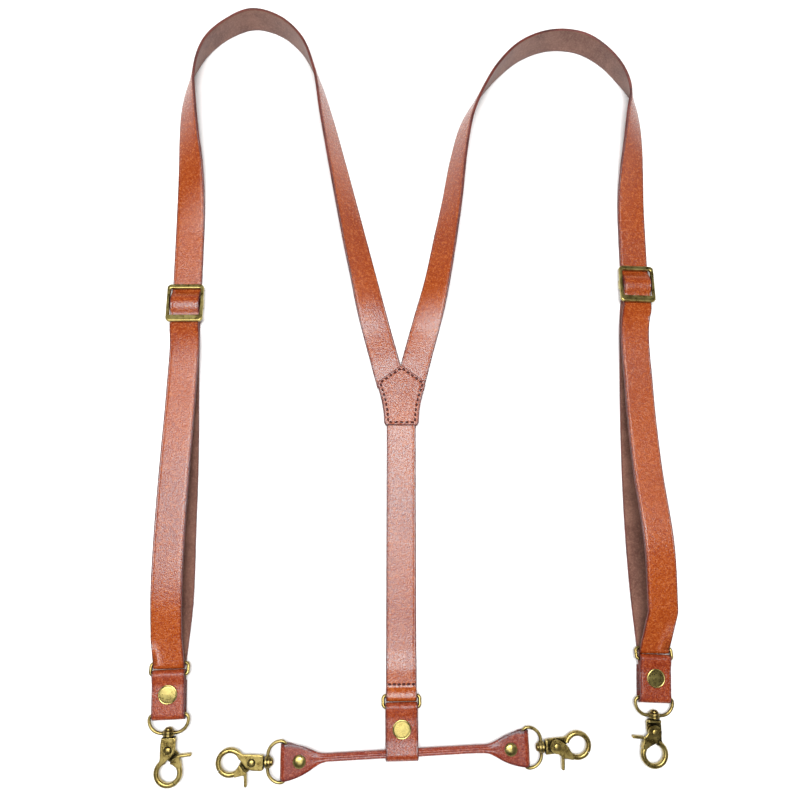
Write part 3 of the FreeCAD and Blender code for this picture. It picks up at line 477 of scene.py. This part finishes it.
# ---------------------------------------------------------------- shoulder straps
def shoulder_stations(side):
    """Strap sections from the yoke over the shoulder, each rolled onto its edge or back."""
    inward = -1 if side == "left" else 1
    points = smooth_curve(ROUTES[side], 9)
    stations = []
    last = len(points) - 1
    for i, (x, y, roll) in enumerate(points):
        ahead = points[min(i + 1, last)]
        behind = points[max(i - 1, 0)]
        run = Vector((ahead[0] - behind[0], ahead[1] - behind[1], 0)).normalized()
        sideways = Vector((-run.y, run.x, 0)) * -inward
        r = math.radians(max(roll, 0.0))
        across = sideways * math.cos(r) + Vector((0, 0, 1)) * math.sin(r)
        lift = (BACKING_T + SAME_GAP) * max(0.0, min(1.0, (48 - y) / 20)) if abs(x) < 60 else 0.0
        rise = STRAP_W / 2 * math.sin(r) + STRAP_T / 2 * abs(math.cos(r)) + lift
        centre = Vector((x, y, 0)) + sideways * (STRAP_W / 2 * math.cos(r)) + Vector((0, 0, rise))
        stations.append((centre, across * -inward, STRAP_W / 2, STRAP_T / 2))
    return stations


def loop_points(side):
    """Middle line (x, y, z, half thickness) through the slide, round the ring and back."""
    sx, sy = SLIDES[side]
    ring_x = TABS[side][0] + FOLD_SHIFT[side]
    ring_y = TABS[side][1] + RING_PLAN
    half = STRAP_T / 2
    front = [(sx, sy + dy, z, half) for dy, z in SLIDE_RUN]
    cut = len(front)
    reach = sy - ring_y
    for share, shift, z in BOWS[side]:
        front.append((sx + (ring_x - sx) * share + shift, sy - reach * share, z, half))
    upper = smooth_curve(front[:cut - 2], 5)
    lower = smooth_curve(front[cut - 3:], 12)
    fold_r = STRAP_BAR_Z - half
    for y, z in arc_points(ring_y, STRAP_BAR_Z, fold_r, 90, 270, 16):
        lower.append((ring_x, y, z, half))
    back = [(ring_x, ring_y, half, half)]
    for share, shift in RETURNS[side]:
        back.append((sx + (ring_x - sx) * share + shift, sy - reach * share, half, half))
    back += [(sx, sy - 3.0, half, half), (sx, sy - 1.0, 0.9, 0.8)]
    lower += smooth_curve(back, 6)[1:]
    for y, z in arc_points(sy + 1.6, 3.1, 2.25, -90, 90, 12):
        lower.append((sx, y, z, WRAP_HALF))
    lower += [(sx, sy - drop, z, SKIVED_HALF) for drop, z in STRAP_END_RUN]
    return upper, lower


def build_shoulder(side):
    upper, lower = loop_points(side)
    sx, sy = SLIDES[side]
    across = Vector((1, 0, 0))
    stations = shoulder_stations(side)
    stations += [(Vector(p[:3]), across, STRAP_W / 2, p[3]) for p in upper]
    low = []
    top_y = sy - SLIDE_L
    reach = top_y - TABS[side][1]
    for x, y, z, half in lower:
        lean = math.radians(TABS[side][2] / 2) * max(0.0, min(1.0, (top_y - y) / reach))
        low.append((Vector((x, y, z)), Vector((math.cos(lean), math.sin(lean), 0)), STRAP_W / 2, half))
    top = sweep("shoulder_strap_upper_" + side, stations, LEATHER_MATS)
    loop = sweep("shoulder_strap_loop_" + side, low, LEATHER_MATS)
    cut_half(top, side)
    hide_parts("shoulder_strap_" + side)
    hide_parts("shoulder_strap_" + side)
    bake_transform(top)
    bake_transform(loop)


def cut_half(obj, side):
    """Cuts a shoulder strap's yoke end along the middle line and square at its foot."""
    sign = -1 if side == "left" else 1
    bm = bmesh.new()
    bm.from_mesh(obj.data)
    for point, normal in ((Vector((sign * SAME_GAP * MM, 0, 0)), Vector((-sign, 0, 0))),
                          (Vector((0, SAME_GAP * MM, 0)), Vector((0, -1, 0)))):
        near = [v for v in bm.verts if v.co.y < YOKE_ZONE_Y and abs(v.co.x) < YOKE_ZONE_X]
        faces = {f for v in near for f in v.link_faces}
        edges = {e for f in faces for e in f.edges}
        geom = list(near) + list(edges) + list(faces)
        found = bmesh.ops.bisect_plane(bm, geom=geom, plane_co=point, plane_no=normal, clear_outer=True)
        rim = [e for e in found["geom_cut"] if isinstance(e, bmesh.types.BMEdge)]
        bmesh.ops.holes_fill(bm, edges=rim, sides=0)
    for f in bm.faces:
        if len(f.verts) > 8:
            f.smooth = False
            f.material_index = 1
    bmesh.ops.recalc_face_normals(bm, faces=bm.faces)
    bm.to_mesh(obj.data)
    bm.free()


# ---------------------------------------------------------------- yoke
def corner_arc(a, b, c, radius, steps=6):
    """Rounds corner b between a and c."""
    u = (a - b).normalized()
    w = (c - b).normalized()
    angle = u.angle(w)
    reach = radius / math.tan(angle / 2)
    mid = b + (u + w).normalized() * (radius / math.sin(angle / 2))
    p, q = b + u * reach - mid, b + w * reach - mid
    out = []
    for i in range(steps + 1):
        t = i / steps
        out.append(mid + p.slerp(q, t) if p.length and q.length else b)
    return out


def yoke_flank(inset, steps):
    """Apex and curved right-hand edge of the yoke patch, moved inwards by the inset."""
    apex = Vector((0, YOKE_APEX_Y - 1.15 * inset))
    shoulder = Vector((YOKE_SHOULDER[0] - 1.05 * inset, YOKE_SHOULDER[1] - 0.35 * inset))
    waist = Vector((YOKE_WAIST[0] - inset, YOKE_WAIST[1]))
    foot = Vector((YOKE_FOOT[0] - inset, YOKE_FOOT[1] + inset))
    ctrl = waist * 2 - (shoulder + foot) / 2
    turns = [i / steps for i in range(steps + 1)]
    flank = [shoulder * (1 - t) ** 2 + ctrl * 2 * t * (1 - t) + foot * t * t for t in turns]
    return apex, flank


def yoke_outline(inset, rounding):
    """Closed outline of the patch with rounded corners."""
    apex, flank = yoke_flank(inset, 12)
    mirror = [Vector((-p.x, p.y)) for p in flank[::-1]]
    corners = [(mirror[-2], mirror[-1], apex), (mirror[-1], apex, flank[0]), (apex, flank[0], flank[1]),
               (flank[-2], flank[-1], mirror[0]), (flank[-1], mirror[0], mirror[1])]
    loops = [corner_arc(*c, rounding) for c in corners]
    top = loops[1] + densify(loops[1][-1], loops[2][0], 10) + loops[2]
    right_side = [p for p in flank[1:-1] if p.y < loops[2][-1].y and p.y > loops[3][0].y]
    foot = loops[3] + densify(loops[3][-1], loops[4][0], 10) + loops[4]
    left_side = [Vector((-p.x, p.y)) for p in right_side[::-1]]
    end = loops[0] + densify(loops[0][-1], loops[1][0], 10)
    return top + right_side + foot + left_side + end


def densify(a, b, count):
    return [a.lerp(b, i / count) for i in range(1, count)]


def plate(name, z0, thickness, mats, crease):
    """Leather patch with rounded rims and a pressed seam channel."""
    top = z0 + thickness
    levels = [(0.30, z0, 1), (0.0, z0 + 0.3, 1), (0.0, top - 0.55, 1), (0.14, top - 0.2, 1),
              (0.55, top, 0), (0.9, top, 0), (1.15, top - crease, 0), (1.4, top, 0),
              (STITCH_INSET - 0.55, top, 0),
              (STITCH_INSET, top - crease * 1.6, 0), (STITCH_INSET + 0.55, top, 0), (3.4, top + 0.05, 0),
              (5.2, top + 0.1, 0)]
    verts, faces, slots, rim = [], [], [], []
    count = 0
    for inset, z, _ in levels:
        line = yoke_outline(inset, max(0.3, YOKE_CORNER - 0.2 * inset))
        count = len(line)
        for p in line:
            verts.append((p.x, p.y, z))
            rim.append(inset)
    for i in range(len(levels) - 1):
        for k in range(count):
            after = (k + 1) % count
            a, b = i * count, (i + 1) * count
            faces.append((a + k, a + after, b + after, b + k))
            slots.append(levels[i][2])
    faces.append(tuple(range(count))[::-1])
    slots.append(2)
    inner = (len(levels) - 1) * count
    centre = len(verts)
    verts.append((0.0, -2.0, top + 0.12))
    rim.append(9.0)
    for k in range(count):
        faces.append((inner + k, inner + (k + 1) % count, centre))
        slots.append(0)
    obj = new_object(name, verts, faces, slots, mats, rim)
    outward(obj)
    return obj


def stitches(name, places, rise):
    """Thread stitches as plump capsules that dip in at both ends."""
    rows, ring = 9, 8
    verts, faces = [], []
    for x, y, z, angle, length in places:
        a = math.radians(angle)
        run = Vector((math.cos(a), math.sin(a), 0))
        side = Vector((-run.y, run.x, 0))
        base = len(verts)
        for i in range(rows):
            t = i / (rows - 1) * 2 - 1
            swell = math.sqrt(max(0.0, 1 - t ** 4))
            r = STITCH_R * max(swell, 0.12)
            mid = Vector((x, y, z + rise * (1 - t * t) - 0.10)) + run * (t * length / 2)
            for k in range(ring):
                b = 2 * PI * k / ring
                verts.append(mid + side * (r * math.cos(b)) + Vector((0, 0, r * 0.8 * math.sin(b))))
        for i in range(rows - 1):
            for k in range(ring):
                after = (k + 1) % ring
                p, q = base + i * ring, base + (i + 1) * ring
                faces.append((p + k, p + after, q + after, q + k))
        faces.append(tuple(base + k for k in range(ring))[::-1])
        faces.append(tuple(base + (rows - 1) * ring + k for k in range(ring)))
    obj = new_object(name, verts, faces, [0] * len(faces), (THREAD,))
    outward(obj)
    return obj


def stitch_row(x, y, z):
    """Stitch places in a straight row across a strap."""
    middle = (ROW_COUNT - 1) / 2
    return [(x + (i - middle) * ROW_PITCH, y, z, 0, STITCH_LEN) for i in range(ROW_COUNT)]


def yoke_seam():
    """Stitch places along the inset outline, side by side."""
    apex, flank = yoke_flank(STITCH_INSET, 40)
    shoulder, foot = flank[0], flank[-1]
    mirror = [Vector((-p.x, p.y)) for p in flank]
    paths = [[apex, shoulder], flank, [foot, Vector((-foot.x, foot.y))], mirror[::-1],
             [Vector((-shoulder.x, shoulder.y)), apex]]
    top = BACKING_T + STRAP_T + PATCH_T + 2 * SAME_GAP
    out = []
    for path in paths:
        lengths = [0.0]
        for p, q in zip(path, path[1:]):
            lengths.append(lengths[-1] + (q - p).length)
        count = max(2, round(lengths[-1] / STITCH_PITCH))
        for i in range(count):
            want = lengths[-1] * (i + 0.5) / count
            j = max(k for k in range(len(path) - 1) if lengths[k] <= want)
            d = path[j + 1] - path[j]
            p = path[j] + d * ((want - lengths[j]) / (lengths[j + 1] - lengths[j]))
            out.append((p.x, p.y, top - 0.16, math.degrees(math.atan2(d.y, d.x)), STITCH_LEN))
    return out


def build_yoke():
    top = BACKING_T + STRAP_T + 2 * SAME_GAP
    patch = plate("yoke_patch_leather", top, PATCH_T, (PATCH_GRAIN, EDGE, FLESH), 0.12)
    piece(patch, "harness", "tab_leather", "yoke_patch")
    backing = plate("yoke_backing_leather", 0.0, BACKING_T, (FLESH, EDGE, PATCH_GRAIN), 0.05)
    piece(backing, "harness", "tab_leather", "yoke_backing")
    piece(stitches("yoke_seam", yoke_seam(), SEAM_RISE), "harness", "thread", "yoke_stitching")


def build_back_strap():
    x, tab_y, _ = TABS["centre"]
    bar_y = tab_y + RING_PLAN
    half = STRAP_T / 2
    lifted = half + BACKING_T + SAME_GAP
    run = smooth_curve([(-SAME_GAP, lifted), (-10.0, lifted), (-23.0, lifted), (-38.0, lifted - 0.55),
                        (-56.0, half + 0.35), (-74.0, half), (-100.0, half), (-150.0, half),
                        (bar_y + 28, half + 0.1), (bar_y + 16, BACK_FOLD_Z), (bar_y + 9, BACK_FOLD_Z),
                        (bar_y + 5.0, 3.3), (bar_y + 2.5, 4.9)], 5)
    fold_r = STRAP_BAR_Z - half
    points = run + arc_points(bar_y, STRAP_BAR_Z, fold_r, 90, 270, 16)[1:]
    points += [(bar_y + 7, half), (bar_y + 15.0, half)]
    points = [p for p in points if p[1] >= half - 1e-6]
    strip = strip_yz(points, STRAP_W / 2, half)
    strip = [(c + Vector((x, 0, 0)), a, w, t) for c, a, w, t in strip]
    piece(sweep("back_strap_leather", strip, LEATHER_MATS), "harness", "strap_leather", "back_strap")
    places = stitch_row(x, bar_y + 7.0, BACK_FOLD_Z + half - 0.05)
    piece(stitches("back_strap_seam", places, SEAM_RISE), "harness", "thread", "back_strap_stitching")


# ---------------------------------------------------------------- snap tabs
def build_tab(side):
    """Snap tab that wraps its ring above and folds over below, with its loose flap."""
    x, y, yaw = TABS[side]
    centre = side == "centre"
    fold_s = CENTRE_FOLD_S if centre else TAB_FOLD_S
    foot_r = CORD_R + CORD_CLEAR + TAB_T / 2 if centre else (TAB_FRONT_Z - TAB_BACK_Z) / 2
    foot_z = CORD_Z if centre else D_BAR_Z
    half = TAB_T / 2
    ring_r = RING_WIRE / 2 + RING_CLEAR + half
    inner = [(-INNER_END_S, TAB_INNER_Z), (-13.0, TAB_INNER_Z), (-5.8, TAB_INNER_Z),
             (-2.8, TAB_BAR_Z - ring_r + 0.5)]
    top = [(abs(py), pz) for py, pz in arc_points(0, TAB_BAR_Z, ring_r, 270, 90, 16)]
    face = [(-2.4, TAB_BAR_Z + ring_r - 0.4), (-5.4, TAB_FRONT_Z), (-12.0, TAB_FRONT_Z),
            (-fold_s + 6.0, TAB_FRONT_Z)]
    foot = [(-2 * fold_s - py, pz) for py, pz in arc_points(-fold_s, foot_z, foot_r, 90, -78, 18)]
    line = smooth_curve(inner, 4)[:-1] + top + smooth_curve([top[-1]] + face + [foot[0]], 4)[1:-1] + foot
    strip = moved(strip_yz(line, TAB_W / 2, half), x, y, yaw)
    tab = sweep("snap_tab_leather_" + side, strip, TAB_MATS)
    piece(tab, "tab_" + side, "tab_leather", "snap_tab_" + side)
    low = foot_z - foot_r
    start = -fold_s + 0.42
    back = smooth_curve([(start, low), (start + 4.0, (low + TAB_BACK_Z) / 2), (-19.0, TAB_BACK_Z),
                         (-12.0, TAB_BACK_Z), (-FLAP_END_S, TAB_BACK_Z)], 4)
    back = moved(strip_yz(back, TAB_W / 2, half), x, y, yaw)
    flap = sweep("snap_flap_leather_" + side, back, (FLESH, EDGE, TAB_GRAIN))
    piece(flap, "flap_" + side, "tab_leather", "snap_tab_flap_" + side)


# ---------------------------------------------------------------- cross strap
def superellipse(half_w, half_t, power):
    """Section outline that runs from round (power 2) to nearly square."""
    out = []
    for i in range(CORD_SIDES):
        a = 2 * PI * (i + 0.5) / CORD_SIDES
        c, s = math.cos(a), math.sin(a)
        out.append((half_w * math.copysign(abs(c) ** (2 / power), c),
                    half_t * math.copysign(abs(s) ** (2 / power), s)))
    return out


def flare_rows(side):
    """(centre, across, half width, half thickness, power, crease depth) out to the D-ring."""
    bx, by, angle = CROSS_BARS[side]
    sign = -1 if side == "left" else 1
    out_dir = Vector((math.sin(math.radians(angle)), -math.cos(math.radians(angle)), 0))
    across = Vector((-out_dir.y, out_dir.x, 0))
    cord_dir = Vector((math.cos(CORD_SLOPE), math.sin(CORD_SLOPE), 0)) * sign
    cord_across = Vector((-cord_dir.y, cord_dir.x, 0))
    start = Vector((0, CORD_Y, CORD_Z))
    cord_end = start + cord_dir * CORD_END
    bar = Vector((bx, by, CORD_Z))
    r = D_WIRE / 2 + 0.5 + FLARE_T / 2
    half_t = FLARE_T / 2
    rows = []
    for i in range(12):
        rows.append((start + cord_dir * (4.0 * i + 2.0), cord_across, CORD_R, CORD_R, 2.0, 1.0))
    reach = (bar - cord_end).length
    keys = [(reach, 2.6, 2.6, 0.0, 2.0, 1.0), (22.0, 3.3, 2.2, 0.4, 2.3, 0.9),
            (18.0, 5.2, 1.7, 1.0, 2.8, 0.6), (14.0, 7.3, 1.2, 1.6, 3.5, 0.3),
            (9.0, 9.3, half_t, 1.75, 5.0, 0.0), (3.6, 10.7, half_t, 1.75, 7.0, 0.0)]
    for back, half_w, thick, lift, power, crease in smooth_curve(keys, 5):
        centre = cord_end + (bar - cord_end) * (1 - back / reach)
        centre.z = CORD_Z + lift
        mixed = cord_across.lerp(across, min(1.0, max(0.0, (reach - back) / 8))).normalized()
        rows.append((centre, mixed, half_w, thick, power, crease))
    for i in range(17):
        a = math.radians(90 - 180 * i / 16)
        centre = bar + out_dir * (r * math.cos(a)) + Vector((0, 0, r * math.sin(a)))
        rows.append((centre, across, FLARE_HALF, half_t, 7.0, 0.0))
    for back, z, half_w in ((3.2, -2.0, 10.6), (5.6, -1.0, 10.0), (9.0, -0.9, 8.8), (13.0, -0.85, 7.5)):
        rows.append((bar - out_dir * back + Vector((0, 0, z)), across, half_w, half_t, 6.0, 0.0))
    return rows


def build_cross():
    right = flare_rows("right")
    left = [(c, -a, w, t, p, k) for c, a, w, t, p, k in flare_rows("left")][::-1]
    rows = left + right
    verts, faces, slots, rim = [], [], [], []
    last = len(rows) - 1
    count = CORD_SIDES
    for i, (centre, across, half_w, half_t, power, crease) in enumerate(rows):
        along = rows[min(i + 1, last)][0] - rows[max(i - 1, 0)][0]
        normal = along.cross(across).normalized()
        for a, b in superellipse(half_w, half_t, power):
            share = a / half_w
            dent = crease * 0.55 * math.exp(-((share + 0.1) / 0.16) ** 2)
            dent += crease * 0.35 * math.exp(-((share - 0.62) / 0.12) ** 2)
            dent = math.copysign(dent, b) if abs(b) > 0.2 else 0.0
            verts.append(centre + across * a + normal * (b - dent))
            rim.append(max(0.0, half_w - abs(a)) + (1.5 if crease > 0.5 else 0.0))
        if i < last:
            for k in range(count):
                after = (k + 1) % count
                p, q = i * count, (i + 1) * count
                faces.append((p + k, p + after, q + after, q + k))
                slots.append(0)
    for ring, flip in ((0, True), (last, False)):
        cap = [ring * count + k for k in range(count)]
        faces.append(tuple(cap[::-1] if flip else cap))
        slots.append(1)
    obj = new_object("cross_strap_leather", verts, faces, slots, (CROSS_GRAIN, EDGE), rim)
    outward(obj)
    piece(obj, "cross_strap", "tab_leather", "cross_strap")


# ---------------------------------------------------------------- slide end stitching
def build_end_seams():
    for side, (sx, sy) in SLIDES.items():
        row = stitch_row(sx, sy - HIDDEN_SEAM_BACK, HIDDEN_SEAM_Z)
        seam = stitches("strap_end_seam_" + side, row, HIDDEN_SEAM_RISE)
        piece(seam, "slide_" + side, "thread", "strap_end_stitching_" + side)


# ---------------------------------------------------------------- metal
def finish_metal():
    looks = [("slide_", BRASS_SLIDE), ("oval_ring_", BRASS_WIRE), ("d_ring_", BRASS_WIRE),
             ("snap_cap_", BRASS_CAP), ("snap_socket_", BRASS_CAP), ("snap_stud_", BRASS_CAP),
             ("snap_post_", BRASS_CAP), ("cross_rivet_", BRASS_CAP), ("hook_body_", BRASS_HOOK),
             ("hook_lever_", BRASS_HOOK), ("hook_rivet_", BRASS_HOOK), ("swivel_pin_", BRASS_HOOK),
             ("hook_spring_", STEEL)]
    for name, obj in NODES.items():
        for start, mat in looks:
            if name.startswith(start):
                obj.data.materials.clear()
                obj.data.materials.append(mat)


# ---------------------------------------------------------------- stage
CAMERA_LENS = 31.5
CAMERA_SENSOR = 36.0
CAMERA_PITCH = 9
CAMERA_YAW = 2.5
CAMERA_DISTANCE = 0.490
CAMERA_AIM = (-0.00084, -0.00284, 0)
FLOOR_SIZE = 5.0
FLOOR_DROP = 0.0003
# Ceiling panels over the table: name, x, y, (width, depth), watts.
PANEL_Z = 1.15
PANELS = [
    ("key_back", 0.04, 0.09, (0.40, 0.45), 12.2),
    ("key_left", -0.42, -0.01, (0.46, 0.76), 9.4),
    ("key_front", 0.05, -0.54, (0.40, 0.34), 2.0),
]


def add_camera():
    cam = bpy.data.cameras.new("camera")
    cam.lens = CAMERA_LENS
    cam.sensor_width = CAMERA_SENSOR
    cam.clip_start = 0.01
    cam.clip_end = 20.0
    obj = bpy.data.objects.new("camera", cam)
    bpy.context.scene.collection.objects.link(obj)
    pitch, yaw = math.radians(CAMERA_PITCH), math.radians(CAMERA_YAW)
    back = Vector((-math.tan(yaw), -math.tan(pitch), 1.0)).normalized()
    right = Vector((0, 1, 0)).cross(back).normalized()
    up = back.cross(right)
    spot = Vector(CAMERA_AIM) + back * CAMERA_DISTANCE
    turn = Matrix((right, up, back)).transposed().to_4x4()
    obj.matrix_world = Matrix.Translation(spot) @ turn
    bpy.context.scene.camera = obj


def area_light(name, spot, aim, size, power):
    light = bpy.data.lights.new(name, "AREA")
    light.shape = "RECTANGLE"
    light.size, light.size_y = size
    light.energy = power
    obj = bpy.data.objects.new(name, light)
    bpy.context.scene.collection.objects.link(obj)
    back = (Vector(spot) - Vector(aim)).normalized()
    turn = back.to_track_quat("Z", "Y").to_matrix().to_4x4()
    obj.matrix_world = Matrix.Translation(Vector(spot)) @ turn


def studio_world():
    """Bright low walls under a dim ceiling, so that tilted leather shines and metal gets dark tops."""
    world = bpy.data.worlds.new("studio")
    world.use_nodes = True
    tree = world.node_tree
    coord = tree.nodes.new("ShaderNodeTexCoord")
    split = tree.nodes.new("ShaderNodeSeparateXYZ")
    ramp = tree.nodes.new("ShaderNodeMapRange")
    ramp.interpolation_type = "SMOOTHSTEP"
    ramp.inputs["From Min"].default_value = 0.05
    ramp.inputs["From Max"].default_value = 0.6
    ramp.inputs["To Min"].default_value = 0.75
    ramp.inputs["To Max"].default_value = 0.02
    tree.links.new(coord.outputs["Generated"], split.inputs[0])
    tree.links.new(split.outputs["Z"], ramp.inputs["Value"])
    tree.nodes["Background"].inputs["Color"].default_value = (1, 1, 1, 1)
    tree.links.new(ramp.outputs["Result"], tree.nodes["Background"].inputs["Strength"])
    bpy.context.scene.world = world


def add_stage():
    bpy.context.scene.view_settings.view_transform = "Standard"
    studio_world()
    n = Nodes("table_white")
    n.finish((0.95, 0.95, 0.95, 1), 0.95, Specular_IOR_Level=0.05)
    bpy.ops.mesh.primitive_plane_add(size=FLOOR_SIZE, location=(0, 0, -FLOOR_DROP))
    floor = bpy.context.object
    floor.name = "table"
    floor.data.materials.append(n.mat)
    for name, x, y, size, power in PANELS:
        area_light(name, (x, y, PANEL_Z), (x, y, 0), size, power)
    area_light("fill", (1.1, 0.3, 0.9), (0.05, 0, 0), (0.5, 0.9), 2.0)


add_camera()
add_stage()
build_yoke()
build_back_strap()
for strap_side in ("left", "right"):
    build_shoulder(strap_side)
for tab_side in TABS:
    build_tab(tab_side)
build_cross()
build_end_seams()
finish_metal()
